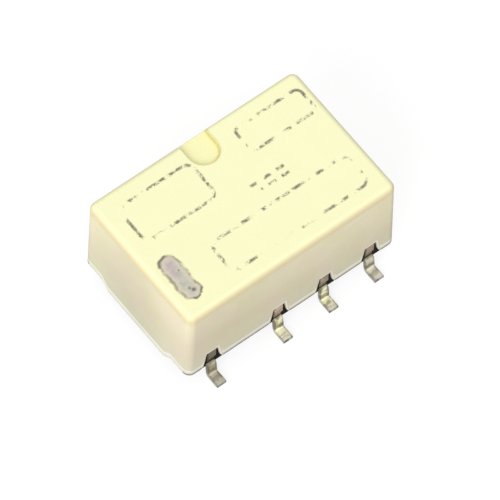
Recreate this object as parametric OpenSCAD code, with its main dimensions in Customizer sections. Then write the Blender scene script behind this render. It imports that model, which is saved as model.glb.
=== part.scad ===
// A miniature surface-mount signal relay. One coil with a permanent magnet rocks an armature, which
// works two changeover contacts. Millimetres: X runs along the long sides, Y across, Z up from the
// board at z = 0. The polarity mark and the coil terminals are at the -X end.

/* [Cover] */
// Length of the cover at its lowest edge
cover_l = 10; // [9.9:0.1:12]
// Width of the cover at its lowest edge
cover_w = 6.5; // [6.45:0.05:8]
// Height of the cover's top over the board
overall_h = 5.2; // [5.1:0.05:6.5]
// Thickness of the side walls
cover_wall = 0.36; // [0.3:0.02:0.38]
// Thickness of the roof
roof_t = 0.42; // [0.36:0.02:0.5]
// Draft of the walls in degrees
draft = 0.6; // [0.3:0.1:1.5]
// Radius of the upright corners
corner_r = 0.32; // [0.3:0.02:0.7]
// Radius of the upright corners inside
inner_r = 0.12; // [0.1:0.02:0.3]
// Radius of the rounding along the top edge
top_r = 0.26; // [0.16:0.02:0.3]
// Height of the long sides' lower edge over the board
edge_z = 0.94; // [0.85:0.01:1]
// Height of the end skirts' tip over the board
skirt_z = 0.56; // [0.4:0.02:0.6]
// Width of an end skirt at its tip
skirt_w = 3.5; // [2.5:0.1:4.2]
// How much each side of an end skirt widens towards its root
skirt_flare = 0.4; // [0.1:0.05:0.6]
// Radius of an end skirt's corners
skirt_r = 0.1; // [0.04:0.02:0.14]

/* [Notches over the terminals] */
// Height of a notch over the cover's lower edge
notch_h = 0.89; // [0.8:0.01:1]
// Width of a notch at its top
notch_top_w = 0.54; // [0.52:0.02:0.8]
// Width of a notch at the cover's lower edge
notch_low_w = 0.8; // [0.76:0.02:1.1]
// Radius where a notch runs out into the lower edge
notch_r = 0.18; // [0.08:0.02:0.24]

/* [Gate recess] */
// Radius of the gate recess in the top
gate_r = 0.66; // [0.5:0.02:1.1]
// Distance of its centre from the cover's rear face
gate_inset = 0.8; // [0.2:0.02:1]
// Depth of the gate recess
gate_depth = 0.16; // [0.1:0.02:0.24]

/* [Polarity mark] */
// Length of the mark across the cover
mark_l = 2.2; // [1.5:0.05:3]
// Width of the mark
mark_w = 0.84; // [0.5:0.02:1]
// Distance of the mark's centre from the end of the cover
mark_inset = 0.96; // [0.9:0.02:1.4]
// Distance of the mark's centre from the middle of the cover, to the front
mark_offset = 1.42; // [0:0.02:1.5]
// Depth of the printed field
mark_t = 0.02; // [0.02:0.01:0.05]

/* [Terminals] */
// Distance from a coil terminal to the next terminal
coil_pitch = 3.2; // [3.1:0.05:3.4]
// Distance between the other terminals
contact_pitch = 2.2; // [2.15:0.05:2.3]
// Width of a terminal
lead_w = 0.44; // [0.34:0.02:0.46]
// Thickness of the terminal strip
lead_t = 0.15; // [0.12:0.01:0.22]
// How far the feet reach beyond the cover
foot_reach = 0.6; // [0.58:0.02:1.2]
// Length of the flat of a foot
foot_l = 0.52; // [0.48:0.02:0.62]
// Bend radius at the middle of the strip
bend_r = 0.13; // [0.12:0.005:0.17]
// Slope of the leg in degrees
leg_slope = 83; // [78:1:88]
// Height of the terminals' underside where they leave the base
stub_z = 0.66; // [0.58:0.01:0.7]
// Thickness of the base outside the terminals that run up in it
riser_skin = 0.2; // [0.16:0.01:0.24]
// Distance between the terminals where they turn along the base
turn_gap = 0.1; // [0.06:0.01:0.14]
// Depth of the coil terminals' tabs below the middle of the coil
tab_drop = 0.1; // [0.05:0.01:0.3]
// How far the tabs reach past the fixed contacts' arms
tab_reach = 0.25; // [0.15:0.01:0.3]
// Length of a hinge pad along the relay
hinge_pad_l = 0.56; // [0.4:0.02:0.8]
// Distance of a hinge pad's end from the base's outer face
hinge_pad_inset = 0.04; // [0.02:0.01:0.1]

/* [Base] */
// Height of the base's underside over the board
base_z = 0.54; // [0.5:0.01:0.56]
// Height of the tub's floor over the board
floor_z = 1.08; // [1.04:0.01:1.14]
// Width of the lug over each terminal
lug_w = 0.36; // [0.32:0.02:0.46]
// Height that the notch leaves free over a lug
lug_gap = 0.05; // [0.03:0.01:0.12]
// Height of a lug's underside over its terminal
lug_under = 0.46; // [0.3:0.02:0.5]
// Depth of the lugs behind the cover's face
lug_inset = 0.04; // [0.03:0.01:0.15]
// Thickness of the base inside the terminals that run up in it
tub_wall = 0.68; // [0.5:0.02:0.7]
// Width of the boss under a hinge pad, at each side of the pad
boss_side = 0.06; // [0.04:0.01:0.15]
// Height of the tub's end walls over its floor
end_wall_h = 1.5; // [0.8:0.05:1.9]
// Width of the step under the base that takes the resin
resin_step = 0.3; // [0.2:0.02:0.34]
// Depth of the resin in the notches behind the lugs' faces
resin_inset = 0.1; // [0.06:0.02:0.2]

/* [Coil] */
// Distance of the coil's underside from the tub's floor
coil_gap = 0.05; // [0.03:0.01:0.1]
// Room between the winding and the tub's long walls
coil_room = 0.27; // [0.2:0.01:0.4]
// Corner radius of the winding
coil_r = 0.4; // [0.2:0.05:0.6]
// Wall of the bobbin's tube
tube_wall = 0.2; // [0.15:0.01:0.25]
// Thickness of the end flanges
flange_t = 0.3; // [0.2:0.02:0.36]
// Thickness of the middle flange
mid_flange_t = 0.4; // [0.3:0.05:0.8]
// Height of the flanges over the winding
flange_rise = 0.1; // [0.05:0.01:0.12]
// Diameter of the coil's wire ends
wire_d = 0.08; // [0.06:0.01:0.1]
// Length of a wire end beside the winding
wire_run = 0.4; // [0.2:0.05:0.8]
// Height of the groove in the flange that a wire end passes
groove_h = 0.45; // [0.35:0.05:0.6]
// Thickness of the core
core_t = 0.6; // [0.5:0.02:0.7]
// Width of the core
core_w = 1.5; // [1.2:0.05:1.6]
// Distance of the poles' middle from the armature's end
pole_inset = 0.25; // [0.2:0.01:0.3]
// Room between the poles and the tub's end walls
pole_room = 0.15; // [0.08:0.01:0.2]
// Radius of the core's bends, inside
core_r = 0.15; // [0.1:0.01:0.2]

/* [Magnet and armature] */
// Length of the magnet
magnet_l = 1.6; // [1.2:0.05:1.8]
// Width of the magnet
magnet_w = 1.8; // [1.4:0.05:2]
// Height of the magnet
magnet_t = 0.52; // [0.4:0.01:0.53]
// Wall of the tray that holds the magnet
tray_wall = 0.2; // [0.15:0.01:0.25]
// Height of the tray's rim over its floor
tray_rim = 0.22; // [0.1:0.01:0.3]
// Thickness of the tray's floor over the winding
tray_floor = 0.2; // [0.15:0.01:0.3]
// Length of the armature
armature_l = 7.7; // [7.4:0.05:7.8]
// Width of the armature
armature_w = 2.2; // [1.8:0.05:2.25]
// Thickness of the armature
armature_t = 0.45; // [0.36:0.01:0.5]
// Radius of the armature's corners
armature_r = 0.2; // [0.1:0.02:0.4]
// Depth of the armature's underside below the pivot
armature_drop = 0.1; // [0.08:0.005:0.12]
// Angle from the middle to either end of the travel
half_travel = 2.2; // [1.8:0.05:2.4]
// Length of the carrier
carrier_l = 1.7; // [1.2:0.05:2]
// Radius of the carrier's corners
carrier_r = 0.1; // [0.06:0.01:0.2]
// Thickness of the carrier outside the springs
carrier_skin = 0.06; // [0.05:0.01:0.1]
// Height of the carrier's top over the pivot
carrier_rise = 0.62; // [0.56:0.01:0.66]
// Room over the carrier, under the roof
head_room = 0.14; // [0.1:0.01:0.2]

/* [Springs and contacts] */
// Thickness of the springs
spring_t = 0.08; // [0.06:0.01:0.1]
// Width of the springs
spring_w = 0.62; // [0.54:0.02:0.66]
// How far the springs reach past the contacts
spring_end = 0.12; // [0.05:0.01:0.15]
// Width of the slot that splits a spring's end
slot_w = 0.12; // [0.08:0.01:0.14]
// Length of the slot
slot_l = 1.2; // [0.6:0.05:1.4]
// Width of a hinge arm
arm_w = 0.26; // [0.2:0.02:0.3]
// Distance of a hinge arm's end from the base's outer face
arm_inset = 0.08; // [0.05:0.01:0.15]
// Distance of the contacts from the middle of the relay
contact_x = 3.1; // [3:0.02:3.12]
// Radius of a moving contact
contact_r = 0.1; // [0.08:0.01:0.11]
// Height of a moving contact
contact_h = 0.13; // [0.1:0.01:0.14]
// Thickness of a fixed contact
fixed_t = 0.1; // [0.06:0.01:0.12]
// Length of a fixed contact along the relay
fixed_l = 0.3; // [0.24:0.02:0.34]
// Length of the arm under a fixed contact
pad_l = 0.5; // [0.4:0.02:0.5]

/* [Clearances] */
// Between the base and the cover's walls
cover_gap = 0.05; // [0.04:0.005:0.06]
// Between the resin and the cover
resin_gap = 0.01; // [0.01:0.005:0.02]
// Between the armature and a pole or the magnet, closed
iron_gap = 0.03; // [0.02:0.005:0.04]
// Between closed contacts
contact_gap = 0.02; // [0.015:0.005:0.03]
// Between a hinge arm and its pad
hinge_gap = 0.02; // [0.015:0.005:0.03]
// Between the carrier and the terminals beside it
carrier_gap = 0.06; // [0.05:0.005:0.08]
// Between the winding or a wire and what carries it
wire_gap = 0.01; // [0.01:0.005:0.02]
// Between other parts that lie beside each other
side_gap = 0.03; // [0.02:0.005:0.04]

/* [Hidden] */
$fn = 48;
FACES_ROUND_HULL = 32;
ARC_STEPS = 6;
BEYOND = 1;
MERGE = 0.1;
MARK_FLAT = 0.02;
THIN = 0.01;
DOME = 1.4;

FRONT = -1;
REAR = 1;

// Colours of the materials
IVORY = "#f6edbe";
MARK_GREY = "#a39a94";
BASE_TAN = "#93806c";
RESIN_BLACK = "#1e1b19";
TINNED = "#cfcbbd";
BOBBIN_WHITE = "#e8e6df";
COPPER = "#b5672f";
IRON = "#8d9197";
MAGNET_GREY = "#4d4e52";
CARRIER_CREAM = "#d9cfa8";
SPRING_BRONZE = "#c79a52";
CONTACT_SILVER = "#dfe1e4";

// The cover's walls lean in by the draft, from its lowest edge up
function lean(z) = (z - skirt_z) * tan(draft);
function outer_half_l(z) = cover_l / 2 - lean(z);
function outer_half_w(z) = cover_w / 2 - lean(z);
function inner_half_l(z) = outer_half_l(z) - cover_wall;
function inner_half_w(z) = outer_half_w(z) - cover_wall;

roof_z = overall_h - roof_t;
notch_z = edge_z + notch_h;

// The rocker hangs from the roof's height down, and the coil stands on the floor
pivot_z = roof_z - head_room - carrier_rise;
function under_z(x) = pivot_z - armature_drop / cos(half_travel) - x * tan(half_travel);
pole_l = core_t;
pole_x = armature_l / 2 - pole_inset;
pole_out = pole_x + pole_l / 2;
pole_in = pole_x - pole_l / 2;
pole_z = under_z(pole_out) - iron_gap;
magnet_z = under_z(magnet_l / 2) - iron_gap - magnet_t;
coil_top = magnet_z - tray_floor - wire_gap;
coil_h = coil_top - floor_z - coil_gap;
coil_z = coil_top - coil_h / 2;
coil_end = pole_in - flange_t;

// The fixed contacts and their arms, from the moving contacts down
contact_drop = (contact_x + contact_r) * tan(half_travel);
fixed_z = pivot_z - (spring_t / 2 + contact_h) / cos(half_travel) - contact_drop - contact_gap;
pad_z = fixed_z - fixed_t;
shelf_z = pad_z - lead_t;
hinge_pad_z = pivot_z - spring_t / 2 - arm_w / 2 * tan(half_travel) - hinge_gap;

// The base fits the cover, and the terminals run up inside the tub's long walls
plate_half_l = inner_half_l(floor_z) - cover_gap;
plate_half_w = inner_half_w(floor_z) - cover_gap;
tub_half_l = inner_half_l(shelf_z) - cover_gap;
tub_half_w = inner_half_w(hinge_pad_z) - cover_gap;
riser_y = tub_half_w - riser_skin - lead_t;
tub_w = 2 * (riser_y - tub_wall);
tub_l = 2 * (pole_out + pole_room);
coil_w = tub_w - 2 * coil_room;
boss_l = hinge_pad_l + 2 * boss_side;

// The carrier fits between the hinge pads' terminals, and the springs lie in it
carrier_half_w = riser_y - carrier_gap;
spring_out = carrier_half_w - carrier_skin;
spring_y = spring_out - spring_w / 2;
pad_y = spring_y - spring_w / 2 - side_gap;
arm_y = tub_half_w - arm_inset;
spring_half_l = contact_x + contact_r + spring_end;

// Terminals from the coil end to the other
coil_lead_x = -(coil_pitch + 2 * contact_pitch) / 2;
nc_lead_x = coil_lead_x + coil_pitch;
common_lead_x = nc_lead_x + contact_pitch;
no_lead_x = common_lead_x + contact_pitch;
LEAD_XS = [coil_lead_x, nc_lead_x, common_lead_x, no_lead_x];

// The gull wing's middle line: stub, bend, leg, bend, foot
tip_y = cover_w / 2 + foot_reach;
foot_z = lead_t / 2;
stub_mid_z = stub_z + lead_t / 2;
foot_bend_y = tip_y - foot_l;
bend_drop = bend_r * (1 - cos(leg_slope));
leg_l = (stub_mid_z - foot_z - 2 * bend_drop) / sin(leg_slope);
stub_bend_y = foot_bend_y - 2 * bend_r * sin(leg_slope) - leg_l * cos(leg_slope);
resin_top = stub_z + lead_t;
lug_y = outer_half_w(notch_z) - lug_inset;
lug_low = resin_top + lug_under;
lug_top = notch_z - lug_gap;

// The coil terminals end in a tab over the tub's wall. Over it the other terminals turn along the
// base, and over those the common ones
tab_z = coil_z - tab_drop;
tab_y = pad_y - tab_reach;
contact_turn = tab_z + turn_gap + lead_w;
common_turn = contact_turn + turn_gap + lead_w;
wire_y = coil_w / 2 + wire_d / 2 + wire_gap;

// Helpers

function arc(c, r, from, to) =
  [for (i = [0:ARC_STEPS]) c + r * [cos(from + (to - from) * i / ARC_STEPS),
                                    sin(from + (to - from) * i / ARC_STEPS)]];

// A box given by its two corners
module box(low, high) {
  translate(low) cube(high - low);
}

// The same piece in front and at the rear
module on_side(side) {
  if (side == REAR) children();
  else mirror([0, 1, 0]) children();
}

// An outline in Y and Z, as thick as given along X and centred there
module along_x(thick) {
  rotate([90, 0, 90]) linear_extrude(thick, center = true) children();
}

// An outline in X and Z, between two places along Y
module along_y(from, to) {
  translate([0, to, 0]) rotate([90, 0, 0]) linear_extrude(to - from) children();
}

module rounded_outline(l, w, r) {
  square([l - 2 * r, w], center = true);
  square([l, w - 2 * r], center = true);
  for (x = [-1, 1], y = [-1, 1])
    translate([x * (l / 2 - r), y * (w / 2 - r)]) circle(r);
}

// What rocks is drawn about the pivot, level, and tipped to its rest
module rocking() {
  translate([0, 0, pivot_z]) rotate([0, -half_travel, 0]) children();
}

// Cover

// A disc with its upper edge rounded, one corner of the top
module top_corner() {
  r = min(top_r, corner_r - MARK_FLAT);
  rotate_extrude($fn = FACES_ROUND_HULL)
    polygon(concat([[0, -r]], arc([corner_r - r, -r], r, 0, 90), [[0, 0]]));
}

module cover_outside() {
  hull() {
    for (x = [-1, 1], y = [-1, 1]) {
      translate([x * (outer_half_l(skirt_z) - corner_r), y * (outer_half_w(skirt_z) - corner_r),
                 skirt_z])
        cylinder(r = corner_r, h = THIN, $fn = FACES_ROUND_HULL);
      translate([x * (outer_half_l(overall_h) - corner_r), y * (outer_half_w(overall_h) - corner_r),
                 overall_h])
        top_corner();
    }
  }
}

module cover_inside() {
  hull()
    for (x = [-1, 1], y = [-1, 1], z = [skirt_z - BEYOND, roof_z - THIN])
      translate([x * (inner_half_l(z) - inner_r), y * (inner_half_w(z) - inner_r), z])
        cylinder(r = inner_r, h = THIN, $fn = FACES_ROUND_HULL);
}

// Everything below the cover's lower edge, seen along X: the long sides end at edge_z, and the end
// skirts reach down to skirt_z with rounded corners
module below_edge() {
  along_x(cover_l + 2 * BEYOND)
    offset(-skirt_r) offset(2 * skirt_r) offset(-skirt_r)
      polygon([[-cover_w, skirt_z - BEYOND], [-cover_w, edge_z],
               [-skirt_w / 2 - skirt_flare, edge_z], [-skirt_w / 2, skirt_z],
               [skirt_w / 2, skirt_z], [skirt_w / 2 + skirt_flare, edge_z],
               [cover_w, edge_z], [cover_w, skirt_z - BEYOND]]);
}

// A notch's outline in X and Z, drawn in by the given margin
module notch_outline(margin) {
  top = notch_top_w / 2 - margin;
  low = notch_low_w / 2 - margin;
  run_out = arc([low + notch_r, edge_z + notch_r], notch_r, 180, 270);
  half = concat([[top, notch_z - margin]], run_out, [[low + notch_r, edge_z - BEYOND]]);
  other = [for (i = [len(half) - 1:-1:0]) [-half[i][0], half[i][1]]];
  polygon(concat(half, other));
}

module notches() {
  for (side = [FRONT, REAR], x = LEAD_XS)
    on_side(side)
      translate([x, 0, 0])
        along_y(inner_half_w(edge_z) - BEYOND / 4, cover_w / 2 + BEYOND)
          notch_outline(0);
}

module gate_recess() {
  y = cover_w / 2 - gate_inset;
  translate([0, y, overall_h - gate_depth]) cylinder(r = gate_r, h = BEYOND);
  box([-gate_r, y, overall_h - gate_depth], [gate_r, y + BEYOND, overall_h + BEYOND]);
}

module mark_field(depth) {
  translate([mark_inset - cover_l / 2, -mark_offset, overall_h - mark_t])
    linear_extrude(depth) rounded_outline(mark_w, mark_l, (mark_w - MARK_FLAT) / 2);
}

module cover() {
  color(IVORY)
    difference() {
      cover_outside();
      cover_inside();
      below_edge();
      notches();
      gate_recess();
      mark_field(BEYOND);
    }
}

module polarity_mark() {
  color(MARK_GREY) mark_field(mark_t);
}

// Terminals, drawn for the rear side

// The part outside the tub's wall: stub, leg and foot
module gull_wing() {
  stub_c = [stub_bend_y, stub_mid_z - bend_r];
  foot_c = [foot_bend_y, foot_z + bend_r];
  over = bend_r + lead_t / 2;
  under = bend_r - lead_t / 2;
  along_x(lead_w)
    polygon(concat(
      [[riser_y, stub_z + lead_t]],
      arc(stub_c, over, 90, 90 - leg_slope),
      arc(foot_c, under, 270 - leg_slope, 270),
      [[tip_y, lead_t], [tip_y, 0]],
      arc(foot_c, over, 270, 270 - leg_slope),
      arc(stub_c, under, 90 - leg_slope, 90),
      [[riser_y, stub_z]]));
}

// The upright strip in the tub's wall, from the terminal over to where its inner end is
module riser(lead_x, end_x, end_w, turn_z, top_z) {
  low = min(lead_x - lead_w / 2, end_x - end_w / 2);
  high = max(lead_x + lead_w / 2, end_x + end_w / 2);
  box([lead_x - lead_w / 2, riser_y, stub_z], [lead_x + lead_w / 2, riser_y + lead_t, turn_z]);
  box([low, riser_y, turn_z - lead_w], [high, riser_y + lead_t, turn_z]);
  box([end_x - end_w / 2, riser_y, turn_z - lead_w], [end_x + end_w / 2, riser_y + lead_t, top_z]);
}

module contact_strip(lead_x, end_x) {
  riser(lead_x, end_x, pad_l, contact_turn, pad_z);
  box([end_x - pad_l / 2, pad_y, shelf_z], [end_x + pad_l / 2, riser_y + lead_t, pad_z]);
}

module common_strip() {
  riser(common_lead_x, 0, hinge_pad_l, common_turn, hinge_pad_z);
  box([-hinge_pad_l / 2, riser_y, hinge_pad_z - lead_t],
      [hinge_pad_l / 2, tub_half_w - hinge_pad_inset, hinge_pad_z]);
}

module coil_strip() {
  riser(coil_lead_x, coil_lead_x, lead_w, tab_z, tab_z);
  box([coil_lead_x - lead_w / 2, tab_y, tab_z - lead_t],
      [coil_lead_x + lead_w / 2, riser_y + lead_t, tab_z]);
}

// All that lies in the base, which is moulded round it
module inserted_strips() {
  for (side = [FRONT, REAR]) on_side(side) {
    coil_strip();
    contact_strip(nc_lead_x, -contact_x);
    common_strip();
    contact_strip(no_lead_x, contact_x);
    for (x = LEAD_XS)
      box([x - lead_w / 2, riser_y, stub_z],
          [x + lead_w / 2, plate_half_w + BEYOND, stub_z + lead_t]);
  }
}

module coil_terminal(side) {
  color(TINNED) on_side(side) {
    translate([coil_lead_x, 0, 0]) gull_wing();
    coil_strip();
  }
}

module nc_terminal(side) {
  color(TINNED) on_side(side) {
    translate([nc_lead_x, 0, 0]) gull_wing();
    contact_strip(nc_lead_x, -contact_x);
  }
}

module common_terminal(side) {
  color(TINNED) on_side(side) {
    translate([common_lead_x, 0, 0]) gull_wing();
    common_strip();
  }
}

module no_terminal(side) {
  color(TINNED) on_side(side) {
    translate([no_lead_x, 0, 0]) gull_wing();
    contact_strip(no_lead_x, contact_x);
  }
}

// Base and resin

module tub() {
  box([-tub_half_l, -tub_half_w, floor_z - MERGE], [tub_half_l, tub_half_w, shelf_z]);
  for (side = [FRONT, REAR]) on_side(side)
    box([-boss_l / 2, riser_y, shelf_z - MERGE], [boss_l / 2, tub_half_w, hinge_pad_z - lead_t]);
}

module lugs() {
  for (side = [FRONT, REAR], x = LEAD_XS) on_side(side)
    box([x - lug_w / 2, tub_half_w - MERGE, lug_low], [x + lug_w / 2, lug_y, lug_top]);
}

// The step round the underside that the resin fills
module resin_ring(half_l, half_w, top) {
  difference() {
    translate([0, 0, base_z])
      linear_extrude(top - base_z) rounded_outline(2 * half_l, 2 * half_w, inner_r);
    box([resin_step - plate_half_l, resin_step - plate_half_w, base_z - BEYOND],
        [plate_half_l - resin_step, plate_half_w - resin_step, top + BEYOND]);
  }
}

module base() {
  color(BASE_TAN)
    difference() {
      union() {
        box([-plate_half_l, -plate_half_w, base_z], [plate_half_l, plate_half_w, floor_z]);
        tub();
        lugs();
      }
      resin_ring(plate_half_l + BEYOND, plate_half_w + BEYOND, resin_top);
      box([-tub_l / 2, -tub_w / 2, floor_z], [tub_l / 2, tub_w / 2, shelf_z + BEYOND]);
      box([-cover_l, -tub_w / 2, floor_z + end_wall_h], [cover_l, tub_w / 2, shelf_z + BEYOND]);
      for (side = [FRONT, REAR]) on_side(side)
        box([coil_lead_x - lead_w / 2, tub_w / 2 - BEYOND / 2, tab_z - lead_t],
            [coil_lead_x + lead_w / 2, riser_y + lead_t, shelf_z + BEYOND]);
      inserted_strips();
    }
}

// The resin in a notch, from the terminal's underside up round the lug
module notch_resin() {
  difference() {
    along_y(plate_half_w, lug_y - resin_inset) notch_outline(resin_gap);
    box([-notch_low_w, 0, -BEYOND], [notch_low_w, cover_w, stub_z]);
    box([-lug_w / 2, 0, lug_low], [lug_w / 2, cover_w, lug_top]);
  }
}

module sealing_resin() {
  color(RESIN_BLACK)
    difference() {
      union() {
        resin_ring(inner_half_l(resin_top) - resin_gap, inner_half_w(resin_top) - resin_gap,
                   resin_top);
        for (side = [FRONT, REAR], x = LEAD_XS) on_side(side)
          translate([x, 0, 0]) notch_resin();
      }
      inserted_strips();
    }
}

// Coil

module flange(x_low, x_high) {
  box([x_low, side_gap - tub_w / 2, floor_z], [x_high, tub_w / 2 - side_gap, coil_top + flange_rise]);
}

module bobbin() {
  tube_y = core_w / 2 + tube_wall;
  tube_z = core_t / 2 + tube_wall;
  tray_l = magnet_l / 2 + tray_wall;
  tray_w = magnet_w / 2 + tray_wall;
  color(BOBBIN_WHITE)
    difference() {
      union() {
        box([-pole_in, -tube_y, coil_z - tube_z], [pole_in, tube_y, coil_z + tube_z]);
        flange(-pole_in, -coil_end);
        flange(coil_end, pole_in);
        flange(-mid_flange_t / 2, mid_flange_t / 2);
        box([-tray_l, -tray_w, coil_top + wire_gap], [tray_l, tray_w, magnet_z + tray_rim]);
      }
      box([-pole_out, -core_w / 2, coil_z - core_t / 2], [pole_out, core_w / 2, coil_z + core_t / 2]);
      box([-magnet_l / 2, -magnet_w / 2, magnet_z], [magnet_l / 2, magnet_w / 2, magnet_z + BEYOND]);
      for (side = [FRONT, REAR]) on_side(side)
        box([-pole_in - BEYOND, wire_y - wire_d, tab_z - groove_h / 2],
            [BEYOND / 4 - coil_end, tub_w, tab_z + groove_h / 2]);
    }
}

module winding_section(x_low, x_high) {
  tube_y = core_w / 2 + tube_wall;
  tube_z = core_t / 2 + tube_wall;
  translate([(x_low + x_high) / 2, 0, coil_z])
    along_x(x_high - x_low)
      difference() {
        rounded_outline(coil_w, coil_h, coil_r);
        square([2 * tube_y, 2 * tube_z], center = true);
      }
}

module coil_winding() {
  color(COPPER) {
    winding_section(-coil_end, -mid_flange_t / 2);
    winding_section(mid_flange_t / 2, coil_end);
  }
}

module core() {
  low = coil_z - core_t / 2;
  out_r = core_r + core_t;
  color(IRON)
    along_y(-core_w / 2, core_w / 2)
      difference() {
        union() {
          translate([-pole_out, low + out_r]) square([2 * pole_out, pole_z - low - out_r]);
          translate([out_r - pole_out, low]) square([2 * (pole_out - out_r), 2 * out_r]);
          for (x = [-1, 1]) translate([x * (pole_out - out_r), low + out_r]) circle(out_r);
        }
        translate([-pole_in, low + core_t]) square([2 * pole_in, BEYOND * 4]);
      }
}

// A wire end, from beside the winding through the flange's groove and onto the tab
module coil_lead(side) {
  low_x = coil_lead_x - lead_w / 4;
  high_x = wire_run - coil_end;
  color(COPPER) on_side(side)
    translate([low_x, wire_y, tab_z + wire_d / 2 + wire_gap]) rotate([0, 90, 0]) {
      cylinder(d = wire_d, h = high_x - low_x);
      sphere(d = wire_d);
      translate([0, 0, high_x - low_x]) sphere(d = wire_d);
    }
}

// Magnet and armature

module permanent_magnet() {
  color(MAGNET_GREY)
    box([-magnet_l / 2, -magnet_w / 2, magnet_z], [magnet_l / 2, magnet_w / 2, magnet_z + magnet_t]);
}

module armature() {
  color(IRON) rocking()
    translate([0, 0, -armature_drop])
      linear_extrude(armature_t) rounded_outline(armature_l, armature_w, armature_r);
}

module armature_carrier() {
  half_l = carrier_l / 2;
  color(CARRIER_CREAM) rocking()
    difference() {
      translate([0, 0, -armature_drop])
        linear_extrude(armature_drop + carrier_rise)
          rounded_outline(carrier_l, 2 * carrier_half_w, carrier_r);
      box([-BEYOND * 2, -armature_w / 2, -armature_drop - BEYOND],
          [BEYOND * 2, armature_w / 2, armature_t - armature_drop]);
      for (side = [FRONT, REAR]) on_side(side) {
        box([-BEYOND * 2, spring_y - spring_w / 2, -spring_t / 2],
            [BEYOND * 2, spring_out, spring_t / 2]);
        box([-arm_w / 2, spring_y, -spring_t / 2], [arm_w / 2, spring_y + BEYOND, spring_t / 2]);
      }
    }
}

// Springs and contacts

module spring(side) {
  color(SPRING_BRONZE) rocking() on_side(side)
    translate([0, spring_y, -spring_t / 2])
      linear_extrude(spring_t)
        difference() {
          union() {
            square([2 * spring_half_l, spring_w], center = true);
            translate([-arm_w / 2, 0]) square([arm_w, arm_y - spring_y]);
          }
          for (x = [-1, 1])
            translate([x * spring_half_l, 0]) square([2 * slot_l, slot_w], center = true);
        }
}

module moving_contacts(side, x) {
  dome_r = DOME * contact_r;
  color(CONTACT_SILVER) rocking() on_side(side)
    for (finger = [-1, 1])
      translate([x, spring_y + finger * (spring_w + slot_w) / 4, -spring_t / 2 - contact_h])
        intersection() {
          cylinder(r = contact_r, h = contact_h);
          translate([0, 0, dome_r]) sphere(dome_r);
        }
}

module fixed_contact(side, x) {
  color(CONTACT_SILVER) on_side(side)
    box([x - fixed_l / 2, pad_y + side_gap, pad_z], [x + fixed_l / 2, spring_out, fixed_z]);
}

cover();
polarity_mark();
base();
sealing_resin();
coil_terminal(FRONT);  // front_coil_terminal
nc_terminal(FRONT);  // front_nc_terminal
common_terminal(FRONT);  // front_common_terminal
no_terminal(FRONT);  // front_no_terminal
coil_terminal(REAR);  // rear_coil_terminal
nc_terminal(REAR);  // rear_nc_terminal
common_terminal(REAR);  // rear_common_terminal
no_terminal(REAR);  // rear_no_terminal
bobbin();
coil_winding();
core();
permanent_magnet();
armature();
armature_carrier();
spring(FRONT);  // front_spring
spring(REAR);  // rear_spring
moving_contacts(FRONT, -contact_x);  // front_nc_moving_contacts
moving_contacts(FRONT, contact_x);  // front_no_moving_contacts
moving_contacts(REAR, -contact_x);  // rear_nc_moving_contacts
moving_contacts(REAR, contact_x);  // rear_no_moving_contacts
fixed_contact(FRONT, -contact_x);  // front_nc_fixed_contact
fixed_contact(FRONT, contact_x);  // front_no_fixed_contact
fixed_contact(REAR, -contact_x);  // rear_nc_fixed_contact
fixed_contact(REAR, contact_x);  // rear_no_fixed_contact
coil_lead(FRONT);  // front_coil_lead
coil_lead(REAR);  // rear_coil_lead
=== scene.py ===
"""Looks of a miniature signal relay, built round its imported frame.

The case, the gull-wing terminals and the sealed mechanism keep the frame's shapes and get rounded
edges, moulding and plating. Lengths are in millimetres unless a unit is named.
"""

import math

import bmesh
import bpy
from mathutils import Matrix, Vector


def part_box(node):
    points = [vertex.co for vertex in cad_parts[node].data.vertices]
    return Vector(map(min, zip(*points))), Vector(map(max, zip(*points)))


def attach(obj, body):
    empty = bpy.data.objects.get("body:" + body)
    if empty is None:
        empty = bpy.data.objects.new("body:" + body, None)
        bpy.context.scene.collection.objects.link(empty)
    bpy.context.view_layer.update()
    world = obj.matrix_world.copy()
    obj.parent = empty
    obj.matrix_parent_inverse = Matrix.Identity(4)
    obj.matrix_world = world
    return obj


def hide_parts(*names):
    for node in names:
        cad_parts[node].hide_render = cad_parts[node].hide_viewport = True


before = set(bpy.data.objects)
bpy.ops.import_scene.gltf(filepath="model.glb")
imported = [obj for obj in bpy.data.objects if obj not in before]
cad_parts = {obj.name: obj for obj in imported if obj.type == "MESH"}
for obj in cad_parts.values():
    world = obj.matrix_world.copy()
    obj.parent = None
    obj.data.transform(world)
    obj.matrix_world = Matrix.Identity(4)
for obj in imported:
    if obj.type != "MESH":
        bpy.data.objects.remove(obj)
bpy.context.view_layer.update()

bl_info = {
    "name": "Signal relay looks",
    "version": (1, 0, 0),
    "blender": (4, 5, 0),
    "location": "3D View > Sidebar > Relay",
    "description": "Finishes and studio for a miniature signal relay",
    "category": "Object",
}

# A millimetre and a micrometre in metres, and the distance under which points are merged
MM = 0.001
MICROMETRE = 0.000001
NARROW = 2e-7
HOUSING = "housing"
ROCKER = "rocker"
SIDES = ("front", "rear")
POLES = ("coil", "nc", "common", "no")
CONTACTS = ("nc", "no")

# The photograph's side and the place of the middle of the relay's height in it, in pixels, and the
# width of the camera's sensor
PHOTO_PX = 500
AIM_PX = (240.8, 228.8)
SENSOR = 36.0
# The nearest and the furthest that the camera sees, in its distances to the relay
CLIP_NEAR, CLIP_FAR = 0.1, 20

# The floor: half its side in metres, its greys, and its glow for the camera
FLOOR_HALF = 1.5
FLOOR_GREYS = ((0.22, 0.22, 0.22), (0.24, 0.24, 0.24))
FLOOR_GLOW = 0.82
# Where the lamp shines from, and how wide it looks, in degrees
LAMP_FROM = (-0.75, -0.42, 0.51)
LAMP_WIDTH = 40


def middle(node):
    """The middle of a frame node, in millimetres."""
    low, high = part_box(node)
    return (low + high) / (2 * MM)


def extent(node):
    """The size of a frame node along each axis, in millimetres."""
    low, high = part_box(node)
    return (high - low) / MM


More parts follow.
